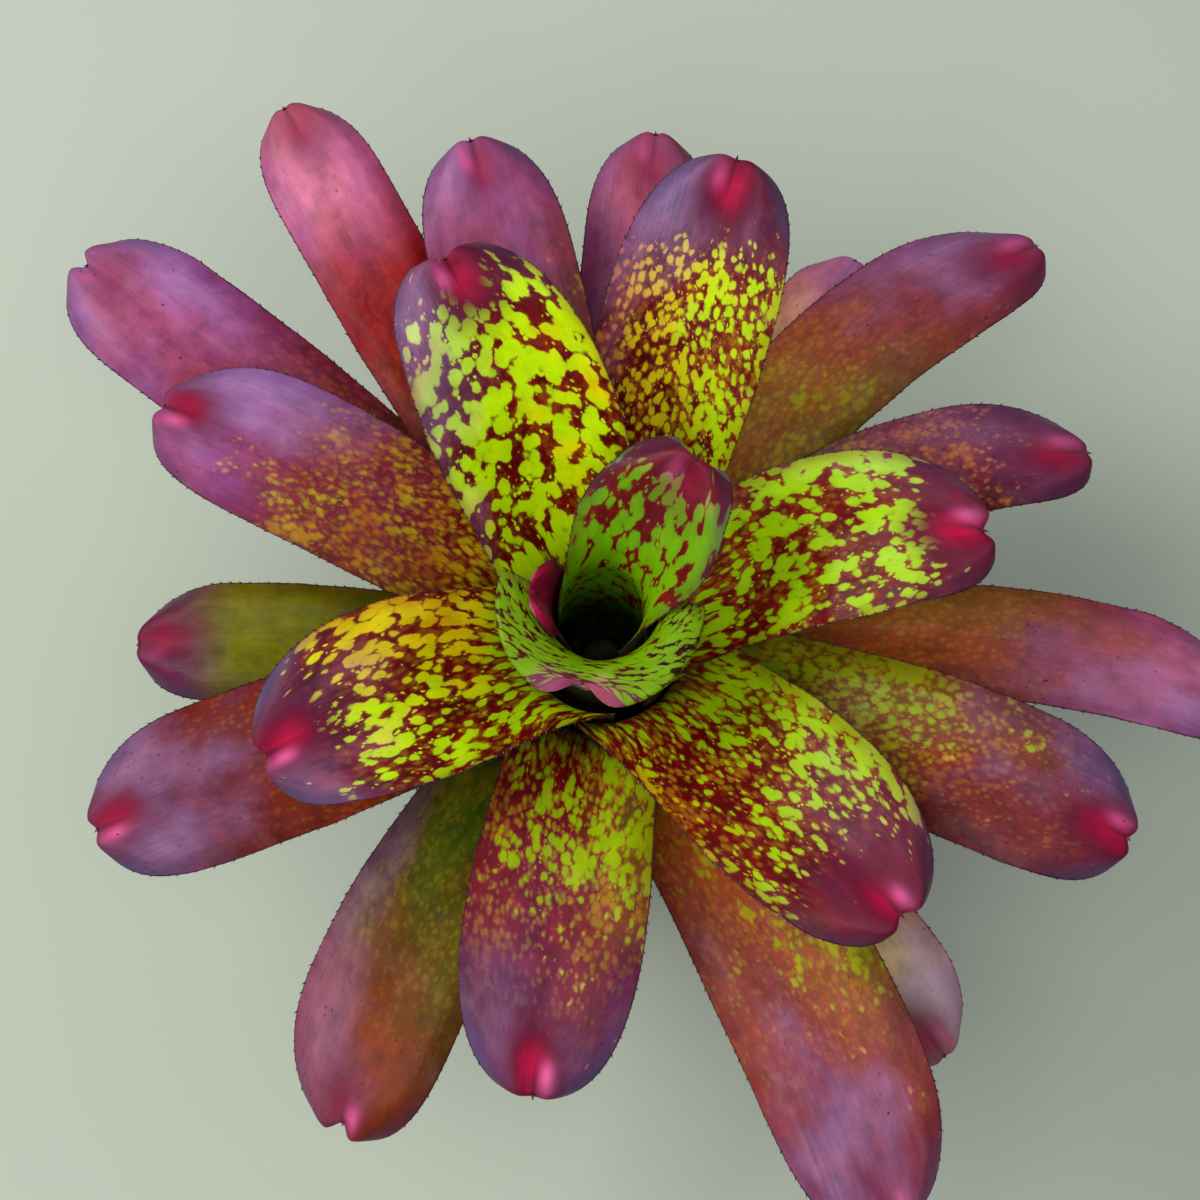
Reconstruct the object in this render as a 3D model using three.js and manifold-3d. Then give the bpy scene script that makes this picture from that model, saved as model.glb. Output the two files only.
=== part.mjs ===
// A neoregelia bromeliad growing in a plain pot: a short stem standing in soil, and twenty-four strap
// leaves in a spiral whose wide sheaths nest into an urn round an open central tube.
// Millimetres and degrees. +Z is up, and the origin is the middle of the pot's underside.
import * as THREE from "three";
import { mergeVertices } from "three/addons/utils/BufferGeometryUtils.js";
import Module from "manifold-3d";

const wasm = await Module();
wasm.setup();

// ---- Driving dimensions ----
const POT = {
  height: 92, rimRadius: 50, rimHeight: 15, collar: 2.6, footRadius: 37, wall: 2.4, floor: 3.2,
  edge: 0.8, drainHoles: 6, drainRadius: 4, drainRing: 24, drainSides: 16, sides: 48,
};
const SOIL = {
  belowRim: 9, side: 0.3, rings: 6, sides: 36,
  crumble: 1.4, crumbleAcross: 0.31, crumbleBack: 0.27, sunk: 0.4,   // heights, and waves per radian
};
const STEM = {
  topRadius: 4.6, neckRadius: 13.5, neckDepth: 4, rootRadius: 7, rootDepth: 30, domeHeight: 2.5,
  gap: 0.6, sides: 24,
};

// Sheaths lie on nested bowls with one centre, one shell inside the next, and rise from there as tubes.
const URN = { centreRadius: 4, centreHeight: 38, firstRadius: 11, shellStep: 2, lastShell: 13 };

const LEAF = {
  ribStep: 0.5, bowlRows: 5, wallRows: 2, bendRows: 3, bladeRows: 3, tipRows: 6,
  facetAngle: 28,                                       // widest facet round a sheath
  sheathThick: 1, bladeThick: 1.3, marginShare: 0.65,
  footHalf: 14, sheathFull: 0.8,                        // share of the sheath where it is widest
  neck: 0.9, neckAt: 0.25, widestAt: 0.6,               // shares of the blade's width and length
  freeFrom: 0.1, freeBy: 0.6, hoodFrom: 0.8,            // where cupping starts, is full, and hooding starts
  capEnd: 0.975, capPower: 2.6, capRound: 0.42,
  tipArch: 1.8, notchHalf: 0.35, mucroLength: 3, mucroShare: 0.25, toothHeight: 1.1, toothLean: 0.7,
};

const soilTop = POT.height - SOIL.belowRim;
const bowlCentre = soilTop + URN.centreHeight;

// ---- The leaves, from the heart outwards ----
// shell: its nesting place; azimuth: 0 is +X and 90 is +Y; wrap: half the angle that its sheath takes up;
// lift: how steep it leaves the bowl; wall: straight rise of the tube; spread, tip: blade slope past the
// bend and at its end; bend: length of that bend; blade: length past the wall; sheath, half: half the
// width of each; taper: length over which it rounds off to the tip; sway: how far its tip swings
// sideways; cup: rise of both edges; hood: how far the tip's edges turn down; notch: depth of the cleft
// at the point.
const fields = [
  "name", "shell", "azimuth", "wrap", "lift", "wall", "spread", "tip", "bend", "blade",
  "sheath", "half", "taper", "sway", "cup", "hood", "notch",
];
const leaves = [
  ["leaf_01_tube", 0, 53, 122, 90, 48, 50, 40, 18, 45, 27, 20, 26, 0, 0, 6, 1],
  ["leaf_02_tube", 1, 179, 57, 90, 55, 74, 68, 8, 13, 18, 10, 9, 0, 0, 0, 1.5],
  ["leaf_03_tube", 2, 263, 96, 90, 55, 36, -6, 10, 18, 60, 54, 9, -6, 0, 0, 7],
  ["leaf_04_young", 3, 112, 86, 88, 12, 50, 28, 26, 108, 31, 25, 45, 4, 3, 5, 2],
  ["leaf_05_young", 4, 21, 78, 88, 10, 44, 14, 26, 104, 28, 22, 40, -12, 3, 4, 3],
  ["leaf_06_young", 4, 202, 78, 88, 8, 42, 2, 26, 95, 31, 25, 43, 3, 3, 4, 2],
  ["leaf_07_young", 5, 314, 82, 87, 6, 38, 4, 26, 109, 31, 25, 45, -1, 3, 4, 3],
  ["leaf_08_young", 6, 74, 76, 86, 4, 38, 22, 28, 120, 28, 22, 40, -1, 3, 4, 1],
  ["leaf_09_young", 6, 261, 76, 84, 2, 28, -2, 28, 115, 29, 23, 43, 1, 2, 4, 1],
  ["leaf_10_grown", 7, 150, 70, 82, 0, 27, 3, 28, 117, 25, 20, 36, 4, 2, 4, 2],
  ["leaf_11_grown", 7, 339, 70, 80, 0, 25, -8, 28, 134, 25, 20, 36, -2, 2, 4, 2],
  ["leaf_12_grown", 8, 32, 66, 78, 0, 24, 8, 28, 119, 22, 15, 30, -13, 2, 4, 1],
  ["leaf_13_grown", 8, 202, 66, 76, 0, 19, -8, 28, 124, 25, 21, 36, 0, 2, 4, 2],
  ["leaf_14_grown", 9, 105, 66, 74, 0, 22, 12, 28, 118, 24, 19, 34, 0, 2, 4, 1],
  ["leaf_15_grown", 9, 300, 66, 72, 0, 15, -11, 28, 150, 27, 22, 44, -4, 2, 4, 1],
  ["leaf_16_old", 10, 122, 52, 70, 0, 19, 3, 28, 144, 20, 15, 28, -1, 1, 4, 1],
  ["leaf_17_old", 10, 2, 52, 68, 0, 12, -10, 28, 148, 20, 15, 36, -8, 1, 4, 1],
  ["leaf_18_old", 10, 236, 52, 66, 0, 10, -14, 28, 122, 24, 21, 36, 6, 1, 4, 4],
  ["leaf_19_old", 11, 84, 43, 66, 0, 15, 7, 28, 115, 20, 16, 28, 0, 1, 4, 1],
  ["leaf_20_old", 11, 179, 45, 64, 0, 8, -14, 28, 99, 20, 16, 28, 0, 1, 4, 1],
  ["leaf_21_old", 11, 310, 47, 62, 0, 6, -18, 28, 115, 22, 18, 32, 0, 1, 4, 1],
  ["leaf_22_old", 12, 54, 40, 61, 0, 12, -4, 28, 135, 20, 17, 42, -11, 1, 4, 1],
  ["leaf_23_old", 12, 143, 42, 60, 0, 10, -4, 28, 151, 22, 19, 32, 0, 1, 4, 4],
  ["leaf_24_old", 13, 58, 45, 57, 0, 6, -12, 28, 104, 18, 13, 24, 0, 1, 4, 1],
].map((row) => Object.fromEntries(row.map((value, k) => [fields[k], value])));

// ---- Small helpers ----
const rad = THREE.MathUtils.degToRad;
const mix = THREE.MathUtils.lerp;
const ease = (x, low, high) => THREE.MathUtils.smoothstep(x, low, high);
const span = (count) => [...Array(count).keys()];

function indexed(points, triangles) {
  const geometry = new THREE.BufferGeometry();
  geometry.setAttribute("position", new THREE.Float32BufferAttribute(points.flat(), 3));
  geometry.setIndex(triangles.flat());
  return geometry;
}

function bare(geometry) {
  geometry.deleteAttribute("normal");
  geometry.deleteAttribute("uv");
  return mergeVertices(geometry, 1e-3);
}

function solid(geometry) {
  const { attributes, index } = bare(geometry);
  return new wasm.Manifold(new wasm.Mesh({
    numProp: 3, vertProperties: attributes.position.array, triVerts: new Uint32Array(index.array),
  }));
}

function geometryOf(manifold) {
  const made = manifold.getMesh();
  const geometry = new THREE.BufferGeometry();
  geometry.setAttribute("position", new THREE.BufferAttribute(made.vertProperties, 3));
  geometry.setIndex(new THREE.BufferAttribute(made.triVerts, 1));
  return geometry;
}

// ---- A leaf's midrib, in the upright plane through the urn's axis ----
const shellRadius = (shell) => URN.firstRadius + URN.shellStep * shell;
const stemRadius = (shell) => mix(STEM.topRadius, STEM.neckRadius, shell / URN.lastShell);
const footRadius = (shell) => stemRadius(shell) + STEM.gap;
const bowlRadius = (shell) => shellRadius(shell) - URN.centreRadius;
const footSlope = (shell) => Math.asin((footRadius(shell) - URN.centreRadius) / bowlRadius(shell));
const footHeight = (shell) => bowlCentre - bowlRadius(shell) * Math.cos(footSlope(shell));

function midrib(leaf) {
  const step = LEAF.ribStep;
  const bowl = bowlRadius(leaf.shell);
  const start = footSlope(leaf.shell);
  const lift = rad(leaf.lift);
  const cupEnd = bowl * (lift - start);
  const sheath = cupEnd + leaf.wall;
  const total = sheath + leaf.blade;
  const slopeAt = (s) => {
    if (s < sheath) return Math.min(lift, start + s / bowl);
    const x = s - sheath;
    const bent = mix(lift, rad(leaf.spread), ease(x, 0, leaf.bend));
    return bent + rad(leaf.tip - leaf.spread) * (x / leaf.blade) ** 2;
  };
  const line = [{ r: footRadius(leaf.shell), z: footHeight(leaf.shell), slope: start }];
  for (let s = step; s < total + 3 * step; s += step) {
    const last = line.at(-1);
    const way = slopeAt(s - step / 2);
    line.push({ r: last.r + step * Math.cos(way), z: last.z + step * Math.sin(way), slope: slopeAt(s) });
  }
  const at = (s) => {
    const k = Math.min(Math.floor(s / step), line.length - 2);
    const blend = (key) => mix(line[k][key], line[k + 1][key], s / step - k);
    return { r: blend("r"), z: blend("z"), slope: blend("slope") };
  };
  return { at, cupEnd, sheath, total };
}

// ---- The leaf's surface: s runs along the midrib in millimetres, q runs -1 to 1 across ----
function leafSurface(leaf) {
  const rib = midrib(leaf);
  const capStart = rib.total - leaf.taper;
  const halfAt = (s) => {
    const full = rib.sheath * LEAF.sheathFull;
    const neckAt = rib.sheath + leaf.blade * LEAF.neckAt;
    const sheath = mix(LEAF.footHalf, leaf.sheath, ease(s, 0, full));
    const neck = mix(sheath, leaf.half * LEAF.neck, ease(s, full, neckAt));
    const blade = mix(neck, leaf.half, ease(s, neckAt, rib.sheath + leaf.blade * LEAF.widestAt));
    const near = THREE.MathUtils.clamp((s - capStart) / leaf.taper, 0, LEAF.capEnd);
    return blade * (1 - near ** LEAF.capPower) ** LEAF.capRound;
  };
  const place = (s, q, side, outward = 0) => {
    const { r, z, slope } = rib.at(s);
    const along = Math.max(0, (s - rib.sheath) / leaf.blade);
    const angle = Math.min(halfAt(s) / r, rad(leaf.wrap));
    const turn = rad(leaf.azimuth + leaf.sway * along ** 2) + q * angle + outward / r;
    const free = ease(along, LEAF.freeFrom, LEAF.freeBy);
    const tipness = ease(along, LEAF.hoodFrom, 1);
    const edge = (free * leaf.cup * (1 - tipness) - tipness * leaf.hood) * q * q;
    const thick = mix(LEAF.sheathThick, LEAF.bladeThick, free) * mix(1, LEAF.marginShare, q * q);
    const rise = edge + side * thick / 2;
    const rho = r - rise * Math.sin(slope);
    return [rho * Math.cos(turn), rho * Math.sin(turn), z + rise * Math.cos(slope)];
  };
  const cleft = (q) => leaf.notch * Math.exp(-((q / LEAF.notchHalf) ** 2));
  const tipOffset = (q) => LEAF.tipArch * (1 - q * q) - cleft(q);
  // Stations along the leaf: even through bowl, wall, bend and blade, closing up round the tip.
  const bendEnd = Math.min(rib.sheath + leaf.bend, capStart);
  const stretch = (from, to, count) => span(count).map((j) => mix(from, to, j / count));
  const rows = [
    ...stretch(0, rib.cupEnd, LEAF.bowlRows),
    ...stretch(rib.cupEnd, rib.sheath, leaf.wall ? LEAF.wallRows : 0),
    ...stretch(rib.sheath, bendEnd, LEAF.bendRows),
    ...stretch(bendEnd, capStart, capStart > bendEnd ? LEAF.bladeRows : 0),
    ...span(LEAF.tipRows + 1).map((j) =>
      capStart + leaf.taper * LEAF.capEnd * Math.sin(Math.PI / 2 * j / LEAF.tipRows)),
  ];
  return { place, rows, tipOffset };
}

function leafGeometry(leaf) {
  const { place, rows, tipOffset } = leafSurface(leaf);
  const last = rows.length - 1;
  const middle = Math.ceil(leaf.wrap / LEAF.facetAngle);
  const wide = 2 * middle;
  const across = span(wide + 1).map((k) => k / middle - 1);
  const points = [];
  const triangles = [];
  const add = (point) => points.push(point) - 1;
  const face = (...corners) => {
    for (let n = 2; n < corners.length; n++) triangles.push([corners[0], corners[n - 1], corners[n]]);
  };
  const fan = (ring, apex) => ring.forEach((corner, n) => face(corner, ring[(n + 1) % ring.length], apex));
  const endAcross = across.map((q, k) =>
    Math.abs(k - middle) === 1 ? Math.sign(q) * LEAF.mucroShare : q);
  const sideGrid = (side) => rows.map((s, j) => j < last
    ? across.map((q) => add(place(s, q, side)))
    : endAcross.map((q) => add(place(s + tipOffset(q), q, side))));
  const upper = sideGrid(1);
  const lower = sideGrid(-1);
  for (let j = 0; j < last; j++)
    for (let k = 0; k < wide; k++) {
      face(upper[j][k], upper[j + 1][k], upper[j + 1][k + 1], upper[j][k + 1]);
      face(lower[j][k], lower[j][k + 1], lower[j + 1][k + 1]);
      face(lower[j][k], lower[j + 1][k + 1], lower[j + 1][k]);
    }
  // A saw tooth on each stretch of both margins, leaning towards the tip.
  for (let j = 0; j < last; j++)
    for (const k of [0, wide]) {
      const s = mix(rows[j], rows[j + 1], LEAF.toothLean);
      const apex = add(place(s, across[k], 0, across[k] * LEAF.toothHeight));
      const ring = [upper[j][k], lower[j][k], lower[j + 1][k], upper[j + 1][k]];
      fan(k ? ring.reverse() : ring, apex);
    }
  // The foot is cut square, and the tip ends in a short point over its middle two facets.
  const point = add(place(rows[last] + LEAF.mucroLength, 0, 0));
  for (let k = 0; k < wide; k++) {
    face(upper[0][k], upper[0][k + 1], lower[0][k + 1], lower[0][k]);
    if (k < middle - 1 || k > middle)
      face(upper[last][k + 1], upper[last][k], lower[last][k], lower[last][k + 1]);
  }
  fan([
    upper[last][middle + 1], upper[last][middle], upper[last][middle - 1],
    lower[last][middle - 1], lower[last][middle], lower[last][middle + 1],
  ], point);
  return indexed(points, triangles);
}

// ---- Turned pieces: a profile of [radius, height] that starts and ends on the axis ----
function turned(profile, sides) {
  const lathe = new THREE.LatheGeometry(profile.map(([r, z]) => new THREE.Vector2(r, z)), sides);
  lathe.rotateX(Math.PI / 2);
  return bare(lathe);
}

const wallAt = (z) => mix(POT.footRadius, POT.rimRadius - POT.collar, z / POT.height);

function potSolid() {
  const { height, rimRadius, rimHeight, footRadius, wall, floor, edge } = POT;
  const rimFoot = height - rimHeight;
  const shell = solid(turned([
    [0, 0], [footRadius - edge, 0], [footRadius, edge], [wallAt(rimFoot), rimFoot],
    [rimRadius - edge, rimFoot + edge], [rimRadius, height - edge], [rimRadius - edge, height],
    [wallAt(height) - wall + edge, height], [wallAt(height) - wall, height - edge],
    [wallAt(floor) - wall, floor], [0, floor],
  ], POT.sides));
  return span(POT.drainHoles).reduce((pot, k) => {
    const a = 2 * Math.PI * k / POT.drainHoles;
    const drill = new THREE.CylinderGeometry(POT.drainRadius, POT.drainRadius, 4 * floor, POT.drainSides);
    drill.rotateX(Math.PI / 2).translate(POT.drainRing * Math.cos(a), POT.drainRing * Math.sin(a), 0);
    return pot.subtract(solid(drill));
  }, shell);
}

const stemProfile = (grow) => [
  [0, soilTop - STEM.rootDepth - grow],
  [STEM.rootRadius + grow, soilTop - STEM.rootDepth - grow],
  [STEM.neckRadius + grow, soilTop - STEM.neckDepth],
  ...span(URN.lastShell + 1).reverse().map((shell) => [stemRadius(shell) + grow, footHeight(shell)]),
  [0, footHeight(0) + STEM.domeHeight + grow],
];

function soilSolid() {
  const inner = POT.wall + SOIL.side;
  const bottom = POT.floor + SOIL.side;
  const topRadius = wallAt(soilTop) - inner;
  const inward = span(SOIL.rings).map((k) => [topRadius * (1 - k / SOIL.rings), soilTop]);
  const lump = turned(
    [[0, bottom], [wallAt(bottom) - inner, bottom], ...inward, [0, soilTop]], SOIL.sides);
  const place = lump.attributes.position;
  for (let n = 0; n < place.count; n++) {
    if (place.getZ(n) < soilTop - 1) continue;
    const [across, back] = [SOIL.crumbleAcross * place.getX(n), SOIL.crumbleBack * place.getY(n)];
    place.setZ(n, soilTop + SOIL.crumble * (Math.sin(across) * Math.cos(back + 1) - SOIL.sunk));
  }
  return solid(lump).subtract(solid(turned(stemProfile(SOIL.side), STEM.sides)));
}

// ---- Parts and their materials ----
function partMesh(name, geometry, color, roughness) {
  const mesh = new THREE.Mesh(geometry, new THREE.MeshStandardMaterial({ color, roughness, metalness: 0 }));
  mesh.name = name;
  return mesh;
}

// The younger leaves are lime on maroon, the grown ones fade through rust, and the old ones are rose.
const leafColour = (leaf) => leaf.shell < 7 ? 0x9bb41c : leaf.shell < 10 ? 0x8f4a2c : 0x94455f;

const plant = new THREE.Group();
plant.name = "neoregelia_in_pot";
for (const leaf of leaves) plant.add(partMesh(leaf.name, leafGeometry(leaf), leafColour(leaf), 0.4));
plant.add(partMesh("stem", turned(stemProfile(0), STEM.sides), 0x6f7d3a, 0.7));
plant.add(partMesh("soil", geometryOf(soilSolid()), 0x3a2a1e, 0.95));
plant.add(partMesh("pot", geometryOf(potSolid()), 0x2c2d2e, 0.6));

export default plant;
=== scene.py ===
# %% [markdown]
# # A neoregelia in its pot
#
# A neoregelia is a bromeliad: a rosette of strap leaves whose wide bases wrap round one another
# and form an urn that holds water. This lesson dresses a plain faceted model of the plant, its
# stem, its soil and its pot. The model is loaded first and stays as it is; each piece made here
# takes the place of one of its nodes and keeps that node's form, with much finer detail.

# %% Load the model
import math

import bpy
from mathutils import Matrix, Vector, noise


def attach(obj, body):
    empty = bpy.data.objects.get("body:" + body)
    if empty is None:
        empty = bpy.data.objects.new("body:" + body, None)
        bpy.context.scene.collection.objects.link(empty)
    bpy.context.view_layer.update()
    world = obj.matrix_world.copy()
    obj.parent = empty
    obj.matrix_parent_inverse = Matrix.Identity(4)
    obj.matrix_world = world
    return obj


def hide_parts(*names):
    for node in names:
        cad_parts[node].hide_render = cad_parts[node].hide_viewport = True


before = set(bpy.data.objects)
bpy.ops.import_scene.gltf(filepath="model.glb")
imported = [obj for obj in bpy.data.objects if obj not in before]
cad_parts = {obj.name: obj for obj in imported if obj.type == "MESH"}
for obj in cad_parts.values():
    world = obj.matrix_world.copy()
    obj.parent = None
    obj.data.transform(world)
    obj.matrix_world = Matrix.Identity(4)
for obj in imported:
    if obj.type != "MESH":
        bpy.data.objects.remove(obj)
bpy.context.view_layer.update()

MM = 0.001

# %% [markdown]
# ## The camera
#
# The plant is looked at steeply from above and from in front, through a long lens, so that the
# tube in its middle shows its dark inside. A long lens keeps near and far leaves in proportion.

# %% Camera
AIM = Vector((-0.0005, 0.0034, 0.1658))
ELEVATION, DISTANCE = math.radians(77), 0.9
SENSOR_MM, FOCAL_MM = 36, 108


def in_scene(name, data):
    """A new object for the data, put in the scene."""
    made = bpy.data.objects.new(name, data)
    bpy.context.scene.collection.objects.link(made)
    return made


lens = bpy.data.cameras.new("lens")
lens.sensor_width, lens.lens = SENSOR_MM, FOCAL_MM
camera = in_scene("camera", lens)
away = Vector((0, -math.cos(ELEVATION), math.sin(ELEVATION)))
camera.location = AIM + DISTANCE * away
camera.rotation_euler = (-away).to_track_quat("-Z", "Y").to_euler()
bpy.context.scene.camera = camera
print("camera stands", [round(v, 3) for v in camera.location])

# %% [markdown]
# ## A wire that can do sums
#
# Materials and Geometry Nodes are both made of nodes joined by wires. A formula of ten steps
# would be ten nodes placed by hand. Here one small class holds a socket and overloads Python's
# operators, so a formula is written as a formula and the nodes appear by themselves. Colours and
# vectors go through Vector Math, because a plain Math node turns a colour grey. The few nodes that
# come up again and again, such as noise or Store Named Attribute, get a short name of their own.

# %% The class
class Wire:
    """An output socket that can stand in a formula."""

    def __init__(self, tree, socket=None):
        self.tree, self.socket = tree, socket

    def node(self, kind, settings=None, values=None, out=0):
        """Adds a node: its settings first, then the values or wires of its sockets."""
        made = self.tree.nodes.new(kind)
        for name, value in (settings or {}).items():
            setattr(made, name, value)
        for name, value in (values or {}).items():
            shown = [s for s in made.inputs if s.enabled]
            socket = shown[name] if isinstance(name, int) else next(s for s in shown if s.name == name)
            if isinstance(value, Wire):
                self.tree.links.new(value.socket, socket)
            elif socket.type == "VECTOR" and isinstance(value, (int, float)):
                socket.default_value = (value,) * 3
            else:
                socket.default_value = value
        shown = {key: s for k, s in enumerate(s for s in made.outputs if s.enabled) for key in (k, s.name)}
        return Wire(self.tree, shown.get(out))

    def sum(self, operation, *terms):
        flat = any(isinstance(t, Wire) and t.socket.type in ("VECTOR", "RGBA") for t in terms)
        kind = "ShaderNodeVectorMath" if flat else "ShaderNodeMath"
        return self.node(kind, {"operation": operation}, dict(enumerate(terms)))

    def __add__(self, other): return self.sum("ADD", self, other)
    def __radd__(self, other): return self.sum("ADD", other, self)
    def __sub__(self, other): return self.sum("SUBTRACT", self, other)
    def __rsub__(self, other): return self.sum("SUBTRACT", other, self)
    def __mul__(self, other): return self.sum("MULTIPLY", self, other)
    def __rmul__(self, other): return self.sum("MULTIPLY", other, self)
    def __truediv__(self, other): return self.sum("DIVIDE", self, other)
    def __rtruediv__(self, other): return self.sum("DIVIDE", other, self)
    def __pow__(self, other): return self.sum("POWER", self, other)
    def __neg__(self): return self.sum("MULTIPLY", self, -1)
    def __abs__(self): return self.sum("ABSOLUTE", self)
    def sin(self): return self.sum("SINE", self)
    def cos(self): return self.sum("COSINE", self)
    def asin(self): return self.sum("ARCSINE", self)
    def sqrt(self): return self.sum("SQRT", self)
    def exp(self): return self.sum("EXPONENT", self)
    def least(self, other): return self.sum("MINIMUM", self, other)
    def most(self, other): return self.sum("MAXIMUM", self, other)
    def inside(self): return self.least(1).most(0)
    def bell(self, half): return (self * self * (-1 / half ** 2)).exp()

    def ease(self, low, high):
        """0 below low, 1 above high, and a smooth step between them."""
        return self.node("ShaderNodeMapRange", {"interpolation_type": "SMOOTHSTEP"},
                         {"Value": self, "From Min": low, "From Max": high})

    def mix(self, start, end):
        """start where this wire is 0, end where it is 1."""
        return start + self * (end - start)

    def paint(self, under, over):
        """The colour under, covered by the colour over as far as this wire says."""
        return self.node("ShaderNodeMix", {"data_type": "RGBA"}, {"Factor": self, "A": under, "B": over})

    def under(self, paint, cover):
        """This colour under a paint of the palette, which hides it as far as the cover says."""
        return cover.paint(self, PALETTE[paint])

    def parts(self):
        made = self.node("ShaderNodeSeparateXYZ", None, {"Vector": self})
        return [Wire(self.tree, s) for s in made.socket.node.outputs]

    def vector(self, x, y, z):
        return self.node("ShaderNodeCombineXYZ", None, {"X": x, "Y": y, "Z": z})

    def noise(self, scale=1.0, detail=2.0, roughness=0.5):
        """Cloudy noise, mostly between 0.3 and 0.7, looked up at this vector."""
        return self.node("ShaderNodeTexNoise", {"noise_dimensions": "3D"},
                         {"Vector": self, "Scale": scale, "Detail": detail, "Roughness": roughness})

    def cells(self, feature="F1", **more):
        """How far this vector is from the nearest of many scattered points."""
        return self.node("ShaderNodeTexVoronoi", {"voronoi_dimensions": "3D", "feature": feature},
                         {"Vector": self, "Scale": 1.0, "Randomness": 1.0, **more}, "Distance")

    def store(self, name, value, kind="FLOAT_VECTOR"):
        """This geometry, with a value written on its points under a name."""
        return self.node("GeometryNodeStoreNamedAttribute", {"data_type": kind},
                         {"Geometry": self, "Name": name, "Value": value})

    def moved(self, **how):
        """This geometry, with its points at a new Position or pushed by an Offset."""
        return self.node("GeometryNodeSetPosition", None, {"Geometry": self, **how})

    def join(self, *others):
        """This geometry and the others as one."""
        made = self.node("GeometryNodeJoinGeometry")
        for piece in (self, *others):
            self.tree.links.new(piece.socket, made.socket.node.inputs[0])
        return made

    def real(self):
        """This geometry, with its copies made real."""
        return self.node("GeometryNodeRealizeInstances", None, {"Geometry": self})

    def coat(self, material, where=True):
        """This geometry, with a material on all its faces or on some."""
        return self.node("GeometryNodeSetMaterial", None,
                         {"Geometry": self, "Material": material, "Selection": where})

    def report(self, what):
        print(f"{what}: {len(self.tree.nodes)} nodes")


def colour(code):
    """A colour code such as #8c0a14 as the linear light that Blender works in."""
    shares = [int(code[k:k + 2], 16) / 255 for k in (1, 3, 5)]
    return tuple(s / 12.92 if s <= 0.04045 else ((s + 0.055) / 1.055) ** 2.4 for s in shares) + (1,)


print("wires do:", ", ".join(name for name in vars(Wire) if not name.startswith("__")))

# %% [markdown]
# ## The sizes of the plant
#
# The sheaths lie on nested bowls with one centre, each shell inside the next, rise from there as
# upright tubes, and bend out into free blades. That is how the real urn is stacked, and it keeps
# neighbouring leaves from cutting through each other. One row of the table describes one leaf,
# from the heart outwards, in millimetres and degrees, in the same terms as the faceted model.

# %% The leaf table
POT = dict(height=92, rim_radius=50, rim_height=15, collar=2.6, draft=0.9, wall=2.4, floor=3.2, edge=0.8,
           foot_radius=37, foot_ring=8.5, hollow=1.2, undercut=1.5, holes=6, hole_radius=4, hole_ring=24,
           soil_below=9)
SOIL_TOP = POT["height"] - POT["soil_below"]
STEM = dict(top_radius=4.6, neck_radius=13.5, neck_depth=4, root_radius=7, root_depth=30, dome=2.5,
            gap=0.6, edge=1.0)
URN = dict(centre_radius=4, centre_height=SOIL_TOP + 38, first_radius=11, shell_step=2, last_shell=13)

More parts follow.
